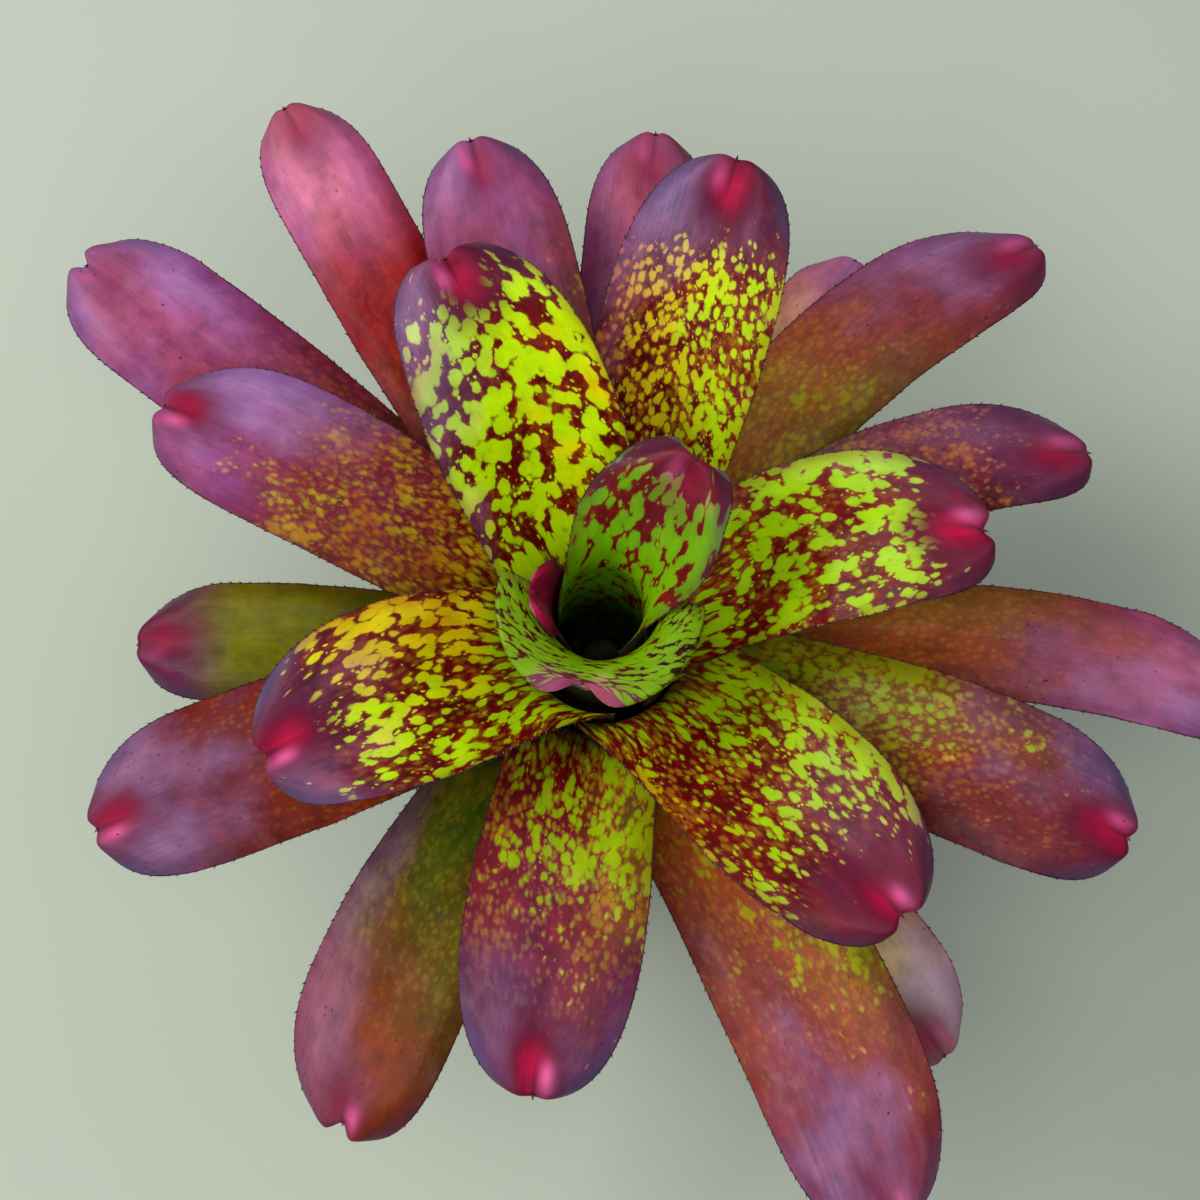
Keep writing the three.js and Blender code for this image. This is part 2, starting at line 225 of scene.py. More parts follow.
COLUMNS = ("shell azimuth wrap lift wall spread tip bend blade "
           "sheath half taper sway cup hood notch").split()
LEAVES = {
    "leaf_01_tube": (0, 53, 122, 90, 48, 50, 40, 18, 45, 27, 20, 26, 0, 0, 6, 1),
    "leaf_02_tube": (1, 179, 57, 90, 55, 74, 68, 8, 13, 18, 10, 9, 0, 0, 0, 1.5),
    "leaf_03_tube": (2, 263, 96, 90, 55, 36, -6, 10, 18, 60, 54, 9, -6, 0, 0, 7),
    "leaf_04_young": (3, 112, 86, 88, 12, 50, 28, 26, 108, 31, 25, 45, 4, 3, 5, 2),
    "leaf_05_young": (4, 21, 78, 88, 10, 44, 14, 26, 104, 28, 22, 40, -12, 3, 4, 3),
    "leaf_06_young": (4, 202, 78, 88, 8, 42, 2, 26, 95, 31, 25, 43, 3, 3, 4, 2),
    "leaf_07_young": (5, 314, 82, 87, 6, 38, 4, 26, 109, 31, 25, 45, -1, 3, 4, 3),
    "leaf_08_young": (6, 74, 76, 86, 4, 38, 22, 28, 120, 28, 22, 40, -1, 3, 4, 1),
    "leaf_09_young": (6, 261, 76, 84, 2, 28, -2, 28, 115, 29, 23, 43, 1, 2, 4, 1),
    "leaf_10_grown": (7, 150, 70, 82, 0, 27, 3, 28, 117, 25, 20, 36, 4, 2, 4, 2),
    "leaf_11_grown": (7, 339, 70, 80, 0, 25, -8, 28, 134, 25, 20, 36, -2, 2, 4, 2),
    "leaf_12_grown": (8, 32, 66, 78, 0, 24, 8, 28, 119, 22, 15, 30, -13, 2, 4, 1),
    "leaf_13_grown": (8, 202, 66, 76, 0, 19, -8, 28, 124, 25, 21, 36, 0, 2, 4, 2),
    "leaf_14_grown": (9, 105, 66, 74, 0, 22, 12, 28, 118, 24, 19, 34, 0, 2, 4, 1),
    "leaf_15_grown": (9, 300, 66, 72, 0, 15, -11, 28, 150, 27, 22, 44, -4, 2, 4, 1),
    "leaf_16_old": (10, 122, 52, 70, 0, 19, 3, 28, 144, 20, 15, 28, -1, 1, 4, 1),
    "leaf_17_old": (10, 2, 52, 68, 0, 12, -10, 28, 148, 20, 15, 36, -8, 1, 4, 1),
    "leaf_18_old": (10, 236, 52, 66, 0, 10, -14, 28, 122, 24, 21, 36, 6, 1, 4, 4),
    "leaf_19_old": (11, 84, 43, 66, 0, 15, 7, 28, 115, 20, 16, 28, 0, 1, 4, 1),
    "leaf_20_old": (11, 179, 45, 64, 0, 8, -14, 28, 99, 20, 16, 28, 0, 1, 4, 1),
    "leaf_21_old": (11, 310, 47, 62, 0, 6, -18, 28, 115, 22, 18, 32, 0, 1, 4, 1),
    "leaf_22_old": (12, 54, 40, 61, 0, 12, -4, 28, 135, 20, 17, 42, -11, 1, 4, 1),
    "leaf_23_old": (12, 143, 42, 60, 0, 10, -4, 28, 151, 22, 19, 32, 0, 1, 4, 4),
    "leaf_24_old": (13, 58, 45, 57, 0, 6, -12, 28, 104, 18, 13, 24, 0, 1, 4, 1),
}
print(len(LEAVES), "leaves on", URN["last_shell"] + 1, "shells")

# %% [markdown]
# ## A leaf, part one: the midrib
#
# The shape of every leaf follows one rule, so Geometry Nodes grow all of them from one tree with
# named inputs. The rule starts with the midrib: a line whose slope is known at each millimetre.
# Adding up many short steps along that slope (Accumulate Field) gives its place. The same sum,
# with shorter steps where the skin is stretched, gives a second measure of length, which later
# draws the spots out into streaks near the foot.

# %% Inputs and midrib
RIB_STEPS = 480
STREAKS_END = (2, 40)      # mm past the bend: the streaks begin to give way to spots, and are gone
HABIT_INPUTS = {"spots": "cover bare size", "fade": "soft yellow age", "bloom": "lilac edge shade",
                "glow": "magenta pink slate", "weave": "clump fine ripe", "lean": "side drawn halo"}
GROUND_INPUTS = ("foot", "middle", "outer")
RADIANS = math.pi / 180


def new_tree(title, numbers=(), vectors=()):
    """A geometry tree with named inputs: a pen to write in it, and a wire for each input."""
    tree = bpy.data.node_groups.new(title, "GeometryNodeTree")
    for way in ("INPUT", "OUTPUT"):
        tree.interface.new_socket("Geometry", in_out=way, socket_type="NodeSocketGeometry")
    for kind, names in (("NodeSocketFloat", numbers), ("NodeSocketVector", vectors)):
        for name in names:
            tree.interface.new_socket(name, in_out="INPUT", socket_type=kind)
    pen = Wire(tree)
    given = pen.node("NodeGroupInput").socket.node
    return pen, {s.name: Wire(tree, s) for s in given.outputs if s.name}


pen, leaf = new_tree("bromeliad_leaf", COLUMNS + ["seed", "streak", "collar"],
                     [*HABIT_INPUTS, *GROUND_INPUTS])
TREE = pen.tree

stem_radius = (leaf["shell"] / URN["last_shell"]).mix(STEM["top_radius"], STEM["neck_radius"])
foot_radius = stem_radius + STEM["gap"]
bowl = URN["first_radius"] + URN["shell_step"] * leaf["shell"] - URN["centre_radius"]
foot_slope = ((foot_radius - URN["centre_radius"]) / bowl).asin()
foot_height = URN["centre_height"] - bowl * foot_slope.cos()
lift = leaf["lift"] * RADIANS
sheath_end = bowl * (lift - foot_slope) + leaf["wall"]
total = sheath_end + leaf["blade"]


def slope_at(s):
    """The midrib's slope in radians, s millimetres from its foot."""
    past = s - sheath_end
    bent = past.ease(0, leaf["bend"]).mix(lift, leaf["spread"] * RADIANS)
    share = (past / leaf["blade"]).most(0)
    blade = bent + (leaf["tip"] - leaf["spread"]) * RADIANS * share * share
    sheath = lift.least(foot_slope + s / bowl)
    on_blade = (past * 1000 + 0.5).inside()
    return on_blade.mix(sheath, blade)


def streaks_left(s):
    """1 on the sheath, where spots are drawn out into streaks, and 0 well past the bend."""
    begin, gone = STREAKS_END
    return 1 - s.ease(sheath_end + begin, sheath_end + gone)


def summed(value):
    """The sum of a value over all the steps before this one."""
    return pen.node("GeometryNodeAccumulateField", {"data_type": "FLOAT"}, {"Value": value}, "Trailing")


index = pen.node("GeometryNodeInputIndex")
step = total / RIB_STEPS
middle = (index + 0.5) * step
way = slope_at(middle)
_, stretch, _ = leaf["lean"].parts()
drawn_out = streaks_left(middle).mix(stretch, leaf["streak"])
line = pen.node("GeometryNodeCurvePrimitiveLine", None, {"End": (0, 0, 1)})
line = pen.node("GeometryNodeResampleCurve", None, {"Curve": line, "Count": RIB_STEPS + 1})
line = line.store("skin_length", summed(step / drawn_out), "FLOAT")
rib_place = pen.vector(foot_radius + summed(way.cos() * step), 0, foot_height + summed(way.sin() * step))
midrib = line.moved(Position=rib_place)
pen.report("midrib tree")

# %% [markdown]
# ## A leaf, part two: the blade
#
# A flat grid becomes the blade. One direction of the grid is s, the distance along the midrib,
# and the other is q, which runs from -1 to 1 across. For each (s, q) the tree looks up the
# midrib, turns away from it round the urn's axis by the half width, and lifts the point off the
# midrib's surface by the thickness, the cupped edges and the turned-down tip. Two such grids,
# upper and lower, meet along the edges and are merged there into one closed, lens-shaped blade.
# Building the shape this way, not by pulling a subdivided cube about, keeps the rows of faces
# along the fibres of the leaf, where its streaks, veins and spines have to run too.

# %% Blade
ROWS, ACROSS = 120, 35
CAP_SHARE = 0.62           # share of the rows before the rounded end
FOOT_HALF = 14             # half the width of a leaf where it leaves the stem
THICK = dict(sheath=1.0, blade=1.3, margin=0.65, closing=1.5)
CAP = dict(end=0.975, power=2.6, round=0.42, arch=1.8, arch_length=5, notch_half=0.35)
RELIEF = dict(channel=-0.45, crease=1.5, swell=3.2, ripple=2.6, rolled=-1.7)


def stored(name, kind="FLOAT_VECTOR"):
    """A wire from what was stored on the points under a name."""
    return pen.node("GeometryNodeInputNamedAttribute", {"data_type": kind}, {"Name": name})


def half_width(s):
    """Half the leaf's width, s millimetres from its foot: a waist above the sheath, then a round end."""
    full, neck_at = 0.8 * sheath_end, sheath_end + 0.25 * leaf["blade"]
    sheath = s.ease(0, full).mix(FOOT_HALF, leaf["sheath"])
    neck = s.ease(full, neck_at).mix(sheath, 0.9 * leaf["half"])
    blade = s.ease(neck_at, sheath_end + 0.6 * leaf["blade"]).mix(neck, leaf["half"])
    near = ((s - (total - leaf["taper"])) / leaf["taper"]).least(CAP["end"]).most(0)
    return blade * (1 - near ** CAP["power"]) ** CAP["round"]


def blade_grid(side):
    """One face of the blade, upper (side 1) or lower (side -1), with what the skin has to know."""
    grid = pen.node("GeometryNodeMeshGrid", None,
                    {"Size X": 1, "Size Y": 1, "Vertices X": ROWS, "Vertices Y": ACROSS})
    here = pen.node("GeometryNodeInputPosition")
    x, y, _ = here.parts()
    a, q = x + 0.5, (y * math.pi).sin()
    cap_start, cap_length = total - leaf["taper"], leaf["taper"] * CAP["end"]
    round_off = (((a - CAP_SHARE) / (1 - CAP_SHARE)).inside() * (math.pi / 2)).sin()
    s = (a / CAP_SHARE).least(1) * cap_start + round_off * cap_length
    end = cap_start + cap_length

    skin_run = pen.node("GeometryNodeSampleCurve", {"data_type": "FLOAT", "use_all_curves": True},
                        {"Curves": midrib, "Value": stored("skin_length", "FLOAT"), "Factor": s / total})
    r, _, z = Wire(TREE, skin_run.socket.node.outputs["Position"]).parts()
    level, _, climb = Wire(TREE, skin_run.socket.node.outputs["Tangent"]).parts()

    half = half_width(s)
    along = ((s - sheath_end) / leaf["blade"]).most(0)
    free, tipness = along.ease(0.1, 0.6), along.ease(0.8, 1)
    angle = (half / r).least(leaf["wrap"] * RADIANS)
    across = q * angle * r
    turn = (leaf["azimuth"] + leaf["sway"] * along * along) * RADIANS + q * angle

    near_end = s.ease(end - CAP["arch_length"], end)
    push = (CAP["arch"] * (1 - q * q) - leaf["notch"] * q.bell(CAP["notch_half"])) * near_end
    edge = (free * leaf["cup"] * (1 - tipness) - tipness * leaf["hood"]) * q * q
    # The fine relief: a channel over the midrib that pinches into a crease at the tip, and a
    # skin that is never quite even.
    channel = across.bell(3.2) * free * RELIEF["channel"]
    crease = across.bell(4) * s.ease(end - 20, end - 3) * RELIEF["crease"]
    swell = pen.vector(s * 0.045, across * 0.05, leaf["seed"]).noise() - 0.5
    ripple = pen.vector(s * 0.11, q * 0.7, leaf["seed"] + 40).noise(detail=1.0) - 0.5
    uneven = (swell * RELIEF["swell"] + ripple * abs(q) ** 3 * RELIEF["ripple"]) * free
    rolled = abs(q).ease(0.62, 1.05) * RELIEF["rolled"] * free
    relief = channel - crease + uneven + rolled
    thick = free.mix(THICK["sheath"], THICK["blade"]) * (q * q).mix(1, THICK["margin"])
    lens = (1 - q * q * q * q * q * q).most(0).sqrt()
    closed = THICK["closing"]
    ends = (s / closed).inside() * (1 - s.ease(end - closed, end) ** 2).most(0).sqrt()
    rise = edge + relief + side * 0.5 * thick * lens * ends
    rho = r + push * level - rise * climb
    place = pen.vector(rho * turn.cos(), rho * turn.sin(), z + push * climb + rise * level) * MM

    lip = leaf["collar"] * (side * 0.5 + 0.5)
    gathered = streaks_left(s).mix(1, leaf["streak"] * 0.14 + 1)
    lengthways = lip.mix(skin_run, (s - sheath_end) * 2.2 - abs(across) * 0.7)
    crossways = lip.mix(q * leaf["half"] * gathered, across * 0.34)
    known = {"shape": pen.vector(s, q, along),
             "grain": pen.vector(lengthways, crossways, leaf["seed"] * 7.3),
             "zone": pen.vector(s - sheath_end, q, side),
             "reach": pen.vector((end - s).most(0), across, (1 - abs(q)) * half)}
    for name in (*HABIT_INPUTS, *GROUND_INPUTS):
        known[name] = leaf[name]
    for name, value in known.items():
        grid = grid.store(name, value)
    return grid.moved(Position=place)


upper, lower = blade_grid(1), blade_grid(-1)
both = upper.join(pen.node("GeometryNodeFlipFaces", None, {"Mesh": lower}))
blade = pen.node("GeometryNodeMergeByDistance", None, {"Geometry": both, "Distance": 0.01 * MM})
blade = pen.node("GeometryNodeSetShadeSmooth", None, {"Geometry": blade})
pen.report("leaf tree")

# %% [markdown]
# ## A leaf, part three: spines and point
#
# Both edges carry small dark spines that lean towards the tip, about one every two and a half
# millimetres, and the tip ends in a short hard point. One bent cone of a few faces is enough. The
# edge of the upper grid becomes a curve, the curve is sampled at even steps, and a cone is set on
# each sample, with its axis pointing out of the blade and its bend along the edge.

# %% Spines and point
SPINE = dict(length=1.2, radius=0.3, bend=0.4, sides=5, rings=3)
POINT = dict(length=2.6, radius=0.6, bend=0.05, sides=10, rings=5)
SPINE_ROW = dict(spacing=2.5, sunk=0.3, forward=0.8, smallest=0.65, largest=1.1, seed=3)
POINT_SUNK = 0.8
AT_EDGE = 0.9999           # q past this is the margin itself


def unit(name):
    arrow = stored(name)
    return arrow.sum("NORMALIZE", arrow)


def neighbour(value, offset):
    """The value at the point that many places further on in the grid."""
    return pen.node("GeometryNodeFieldAtIndex", {"data_type": "FLOAT_VECTOR"},
                    {"Value": value, "Index": index + offset})


def bent_cone(length, radius, bend, sides, rings):
    cone = pen.node("GeometryNodeMeshCone", {"fill_type": "NGON"},
                    {"Vertices": sides, "Side Segments": rings, "Radius Top": 0.0,
                     "Radius Bottom": radius * MM, "Depth": length * MM}, "Mesh")
    _, _, up = pen.node("GeometryNodeInputPosition").parts()
    share = up / (length * MM)
    return cone.moved(Offset=pen.vector(share * share * (bend * length * MM), 0, 0))


def keep(geometry, wanted):
    """Only the points where the wanted value is above zero."""
    return pen.node("GeometryNodeSeparateGeometry", {"domain": "POINT"},
                    {"Geometry": geometry, "Selection": wanted})


here = pen.node("GeometryNodeInputPosition")
s, q, _ = stored("shape").parts()
outward = here - neighbour(here, -(q * 4))
onward = here - neighbour(here, -ACROSS)
marked = upper.store("outward", outward).store("onward", onward)
end = total - leaf["taper"] * (1 - CAP["end"])
at_edge = (abs(q) - AT_EDGE) * 1e6
edges = keep(marked, at_edge.least(s - 0.6 * sheath_end).least(end - 0.1 * leaf["taper"] - s))
edges = pen.node("GeometryNodeMeshToCurve", None, {"Mesh": edges})
edges = pen.node("GeometryNodeResampleCurve", {"mode": "LENGTH"},
                 {"Curve": edges, "Length": SPINE_ROW["spacing"] * MM})
edges = edges.moved(Offset=unit("outward") * (-SPINE_ROW["sunk"] * MM))
stance = pen.node("FunctionNodeAxesToRotation", {"primary_axis": "Z", "secondary_axis": "X"},
                  {"Primary Axis": unit("outward") + unit("onward") * SPINE_ROW["forward"],
                   "Secondary Axis": unit("onward")})
growth = pen.node("FunctionNodeRandomValue", {"data_type": "FLOAT"},
                  {"Min": SPINE_ROW["smallest"], "Max": SPINE_ROW["largest"],
                   "ID": index, "Seed": SPINE_ROW["seed"]})
spines = pen.node("GeometryNodeInstanceOnPoints", None,
                  {"Points": edges, "Instance": bent_cone(**SPINE), "Rotation": stance, "Scale": growth})

at_point = keep(marked, 0.5 - abs(index - ((ROWS - 1) * ACROSS + ACROSS // 2)))
at_point = at_point.moved(Offset=unit("onward") * (-POINT_SUNK * MM))
stance = pen.node("FunctionNodeAxesToRotation", {"primary_axis": "Z", "secondary_axis": "Y"},
                  {"Primary Axis": unit("onward"), "Secondary Axis": (0, 0, 1)})
point = pen.node("GeometryNodeInstanceOnPoints", None,
                 {"Points": at_point, "Rotation": stance, "Instance": bent_cone(**POINT)})
horn = spines.real().store("horn", 1.0, "FLOAT").join(point.real().store("horn", 2.0, "FLOAT"))
pen.report("with spines and point")

# %% [markdown]
# The last nodes put the pieces together. Realize Instances turns the copies into real faces, and
# Set Material gives the skin to everything, then the horn to faces with the mark 1 (spines) and a
# redder horn to those with the mark 2 (the point). A selection counts as yes above zero.

# %% Materials go on last
SKIN, HORN, POINT_HORN = (bpy.data.materials.new(name)
                          for name in ("leaf_skin", "spine_horn", "point_horn"))
mark = stored("horn", "FLOAT")
whole = blade.join(horn).real().coat(SKIN).coat(HORN, mark).coat(POINT_HORN, mark - 1.5)
pen.node("NodeGroupOutput", None, {0: whole})
pen.report("finished leaf tree")

# %% [markdown]
# ## Paints and habits
#
# The young leaf is maroon, covered in lime spots that run together, as if dabbed on with a round
# brush. Towards the foot the same spots are drawn out into streaks. Further out they thin out,
# turn yellow and fade into plum, and the very tip is magenta. Older leaves keep the same scheme
# with the contrast gone: olive at the foot, rust, rose, and a lilac bloom that is partly wax and
# partly painted sheen. So each leaf gets a habit: numbers for its spots, and three paints for its
# ground colour from foot to tip. One could paint 24 materials by hand. Here the habits travel
# with the mesh as attributes, and one skin material serves all the leaves.

# %% Palette
PALETTE = {name: colour(code) for name, code in {
    "black_red": "#220305", "maroon": "#5e0405", "crimson": "#90100c", "brick": "#7c3010",
    "rust": "#a04a18", "salmon": "#904838", "wine": "#5a0c24", "claret": "#782438", "plum": "#54203e",
    "mallow": "#843c5a", "heather": "#90487c", "rose": "#a44c64", "petal": "#c47490",
    "umber": "#553008", "olive": "#646600", "moss": "#3e5200", "bronze": "#7c5400",
    "lime": "#bce400", "leaf_green": "#62a000", "yellow": "#e4cc00", "amber": "#d87c00",
    "cream": "#e0c880", "magenta": "#b4003c", "blood": "#600428", "pink": "#e860a0", "lilac": "#a890c8",
    "slate": "#54486c", "ink": "#1a0c14", "speck": "#240a06", "scurf": "#8c8490",
}.items()}
print(len(PALETTE), "paints")

# %% [markdown]
# The habits stand in two tables with a row for each leaf, by its number. The first is about the
# spots: cover is how much of the skin they take, bare the length that they leave free at the tip
# and size their size, both in millimetres. Soft, yellow and age say how they fade and ripen. Clump
# gathers them, fine adds a stipple, ripe is the side that yellows first and side the one where
# they gather. Drawn and streak are how far they are drawn out on the blade and at the foot, and
# halo is the ring round them. The second is about the paints: the lilac bloom, partly wax and
# partly painted sheen, and the edge that it favours, how many millimetres past the bend the
# painted shade of the foot reaches, the magenta of the tip, its painted pink highlight and its
# painted slate reflection, and the ground.

# %% Habits
SPOT_TABLE = """
leaf cover bare size soft yellow  age clump fine ripe  side drawn halo streak
01    0.68    5  2.9    0   -0.9 0.35   0.9    0    0     0   1.5  0.2    1.6
02       0   30    3    0      0    0     1    0    0     0   1.2    0      2
03    0.66  3.5  1.5    0   -0.7  0.7   0.5    0    0     0   1.2  0.2      2
04     0.6    9  3.3    0   0.15    0   1.2  0.2    0 -0.03   1.2  0.5      4
05     0.5   10  2.5    0  -0.35  0.3   1.1  0.3    0  0.12   1.5  0.6      5
06    0.48   14  2.4    0   0.25 0.15   0.7  0.5 -0.3     0   1.9  0.6    4.5
07    0.38   18  1.9  0.1  -0.25  0.5     1  0.5 -0.7   0.2   1.9  0.7    4.5
08    0.42   16  1.9  0.1    0.4 0.25   0.7  0.6  0.6 -0.12   1.4  0.9      4
09    0.34   32  2.2  0.3  -0.05  0.8     1  0.6 -0.4   0.3   1.6  0.6      3
10     0.3   24  1.8  0.8    0.7 0.65     1  0.4    0   0.1   1.4  0.1      3
11    0.34   40  2.1 0.55   0.35 0.95     1  0.6 -0.5  0.25   1.3  0.4      3
12    0.18   14  1.6  0.9    0.8  0.8     1  0.4    0   0.1   1.3  0.3      3
13       0   60    2  0.8    0.9  0.8     1  0.5    0     0   1.4    0      3
14    0.14   40    2  0.7    0.8  0.8     1  0.2    0 -0.25   1.4    0      3
15     0.2   45  2.1  0.7    0.3  0.8   1.2  0.3    0  0.45   1.5  0.2      3
16       0   26    2  0.9    0.8  0.9     1  0.2    0     0   1.4    0      3
17    0.05   70  2.2  0.9    0.3  0.9     1  0.3    0   0.3   1.4    0      3
18    0.03   30  2.4  0.8    0.3  0.9     1  0.2 -0.3  0.35   1.4    0      3
19       0   60    2  0.9    0.8  0.9     1  0.3    0     0   1.4    0      3
20       0   12  2.4  0.9      0  0.8     1 0.05    0     0   1.4    0      3
21       0   60    2  0.9    0.8  0.9     1  0.2    0     0   1.4    0      3
22    0.08   40    2  0.9    0.4  0.8     1  0.3    0 -0.35   1.4  0.2      3
23       0   60    2  0.9    0.9  0.9     1  0.3    0     0   1.4    0      3
24       0   60    2  0.9    0.8    1     1  0.1    0     0   1.4    0      3
"""
PAINT_TABLE = """
leaf lilac edge shade magenta pink slate foot      middle    outer
01       0    0    -8     0.4  0.4   0.3 maroon    maroon    wine
02       0    0    -8     0.6  0.3     0 wine      wine      magenta
03       0    0    -8       0  0.4     0 black_red black_red mallow
04     0.5  0.9     4     0.9  0.9   0.3 maroon    maroon    plum
05     0.1  0.5     8       1  0.8   0.3 maroon    maroon    wine
06     0.4  0.2    10       1    1     1 maroon    maroon    plum
07     0.1  0.3    30     0.9  0.8   0.4 maroon    maroon    wine
08     0.6  0.6     8       1  0.7   0.8 maroon    maroon    plum
09     0.3 -0.3    42       1    1   0.9 maroon    claret    plum
10    0.85 -0.5    26    0.85  0.9   0.6 maroon    claret    heather
11     0.5  0.4    24     0.9  0.6   0.9 umber     brick     plum
12     0.2  0.5    26     0.7  0.4   0.3 umber     wine      plum
13    0.65 -0.3    20     0.8  0.8     1 brick     brick     wine
14     0.8  0.3    26    0.65  0.8   0.5 maroon    claret    heather
15     0.9 -0.2     8     0.5  0.5   0.3 rust      salmon    claret
16     0.1  0.9    40     0.6  0.2   0.3 umber     crimson   petal
17     0.8 -0.2     4     0.3  0.2   0.3 rust      salmon    rose
18    0.35 -1.4    20     0.6  0.8   0.4 moss      umber     brick
19     0.6    0    16     0.6  0.5   0.4 claret    heather   rose
20       0  0.4    26    0.65  0.2   0.5 moss      olive     plum
21     0.9    0    -8     0.7  0.5   0.2 cream     cream     cream
22     0.6  0.4    30     0.7  0.5   0.3 bronze    salmon    claret
23    0.85    0    30     0.5  0.4   0.4 umber     claret    heather
24     0.9    0    16     0.3  0.2   0.3 cream     cream     petal
"""


def rows_of(table):
    """A text table as a dictionary of its rows, each a dictionary of named cells."""
    header, *lines = (line.split() for line in table.strip().splitlines())
    return {name: dict(zip(header[1:], cells)) for name, *cells in lines}


SPOT_HABITS, PAINT_HABITS = rows_of(SPOT_TABLE), rows_of(PAINT_TABLE)
print(len(SPOT_HABITS), "leaves have habits")

# %% [markdown]
# ## Growing the leaves
#
# Each leaf is an empty mesh with the tree as its modifier. A modifier's inputs are filled in by
# the sockets' identifiers, the result is taken as a plain mesh, and the modifier is dropped.

# %% Grow
IDENTIFIER = {item.name: item.identifier for item in TREE.interface.items_tree
              if item.in_out == "INPUT"}


def plain_mesh(name, tree=None, inputs=None, start=None):
    """Runs a tree, or an object's own modifiers, and gives the result as a plain object."""
    source = start or in_scene(name + "_source", bpy.data.meshes.new(name))
    if tree:
        modifier = source.modifiers.new("grow", "NODES")
        modifier.node_group = tree
        for key, value in (inputs or {}).items():
            modifier[key] = value
    seen = source.evaluated_get(bpy.context.evaluated_depsgraph_get())
    mesh = bpy.data.meshes.new_from_object(seen)
    mesh.name = name
    made = in_scene(name, mesh)
    bpy.data.objects.remove(source)
    return made


def dress(piece, node):
    """The piece rides on the one body and stands for its node."""
    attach(piece, "root")
    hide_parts(node)
    count = sum(len(p.vertices) - 2 for p in piece.data.polygons)
    print(f"{piece.name}: {count} triangles")


LIP_LEAF = "leaf_03_tube"
for node, row in LEAVES.items():
    _, number, kind = node.split("_")
    habit = {**SPOT_HABITS[number], **PAINT_HABITS[number]}
    numbers = dict(zip(COLUMNS, row), seed=1.7 * (int(number) - 1) + 0.4, streak=habit["streak"],
                   collar=node == LIP_LEAF)
    inputs = {IDENTIFIER[name]: float(value) for name, value in numbers.items()}
    for name, columns in HABIT_INPUTS.items():
        inputs[IDENTIFIER[name]] = [float(habit[column]) for column in columns.split()]
    for name in GROUND_INPUTS:
        inputs[IDENTIFIER[name]] = PALETTE[habit[name]][:3]
    dress(plain_mesh("skin_of_" + node, TREE, inputs), node)

# %% [markdown]
# ## The leaf skin
#
# Round spots that merge come from a Voronoi texture in three dimensions, sliced by the leaf: the
# slices are discs of many sizes. The texture is looked up by the grain attribute, not by place,
# so that it follows the blade and stretches with it. A slow noise raises and lowers the share
# that the spots cover, which gathers them into clumps with bare gaps between.

# %% Skin: what the mesh knows
def fresh(material):
    """Empties a material and gives a pen to write its nodes with."""
    material.use_nodes = True
    material.node_tree.nodes.clear()
    return Wire(material.node_tree)


def attribute(name):
    return pen.node("ShaderNodeAttribute", {"attribute_name": name}, out="Vector")


pen = fresh(SKIN)
past_bend, q, face = attribute("zone").parts()
skin_length, skin_across, seed = attribute("grain").parts()
to_tip, across, to_edge = attribute("reach").parts()
_, _, along = attribute("shape").parts()
cover, bare_tip, spot_size = attribute("spots").parts()
soft, yellow, age = attribute("fade").parts()
lilac, lilac_side, shade_depth = attribute("bloom").parts()
magenta, pink, slate = attribute("glow").parts()
clumping, stipple, ripe_side = attribute("weave").parts()
spot_side, _, halo = attribute("lean").parts()
underside = (0.5 - face * 0.5).inside()
foot, middle, outer = (attribute(name) for name in GROUND_INPUTS)
flesh = pen.vector(skin_length, skin_across, seed)

broad = flesh.noise(0.035)
patchy = (flesh + (31, 7, 0)).noise(0.09)
clump = (flesh + (57, 19, 0)).noise(0.15, 1.0)
mottle = (flesh + (3, 91, 0)).noise(0.3, 3.0, 0.6)
veins = pen.vector(skin_length * 0.03, across * 1.4, seed).noise(1.0, 3.0, 0.6)
scurf = pen.vector(skin_length * 0.9, across * 0.25, seed).noise(1.0, 3.0, 0.6)
print("the skin reads", len(HABIT_INPUTS) + len(GROUND_INPUTS) + 4, "attributes")

# %% [markdown]
# The ground colour comes first: three paints from foot to tip with ragged borders, then a dark
# and light mottle, patches of a warmer and a cooler cast, green that lingers low on older leaves,
# and a crimson flush. Borders made ragged by noise look grown; plain ramps would look sprayed on.

# %% Skin: ground
WARM, COOL = (1.14, 1.02, 0.78, 1), (0.9, 0.82, 1.16, 1)
ragged_along = along + (broad - 0.5) * 0.5 + (patchy - 0.5) * 0.2
ground = (ragged_along - age * 0.28).ease(-0.05, 0.4).paint(foot, middle)
from_tip = (to_tip * to_tip + across * across * 0.3).sqrt()
near_tip = 1 - from_tip.ease(bare_tip * 0.9, bare_tip * 2 + 4)
ground = ((ragged_along + q * lilac_side * 0.15).ease(0.42, 0.95) * near_tip).paint(ground, outer)
ground = ground * ((mottle - 0.5) * 1.1 + (clump - 0.5) * 0.6 + (veins - 0.5) * 0.4 + 1.0)
cast = broad.ease(0.36, 0.64).paint(WARM, COOL)
ground = (age * 0.7 + 0.25).paint(ground, ground * cast)
greener = (1 - ragged_along.ease(0.35, 0.85)) * (q * spot_side * 2.4).inside() * age
ground = ground.under("olive", greener)
flush = (patchy + mottle * 0.4).ease(0.64, 0.84) * (1 - age * 0.8)
ground = ground.under("crimson", flush * 0.4)
pen.report("with its ground")

# %% [markdown]
# Then the spots. Cover is turned into a threshold for the distance to the nearest Voronoi point,
# and the same distance makes each spot a little deeper towards its own edge. Large and small dabs
# lie over each other, and a fine stipple fills the gaps. They are lime when fresh, leaf green deep
# in the urn, and ripen to yellow and amber.

# %% Skin: spots
SMALLER = 0.55             # size of the small dabs beside the large ones
STIPPLE_APART = 1.7        # mm
STREAKS_FADE = (2, 36)     # mm past the bend
GREEN_BELOW = (-22, 10)    # mm past the bend


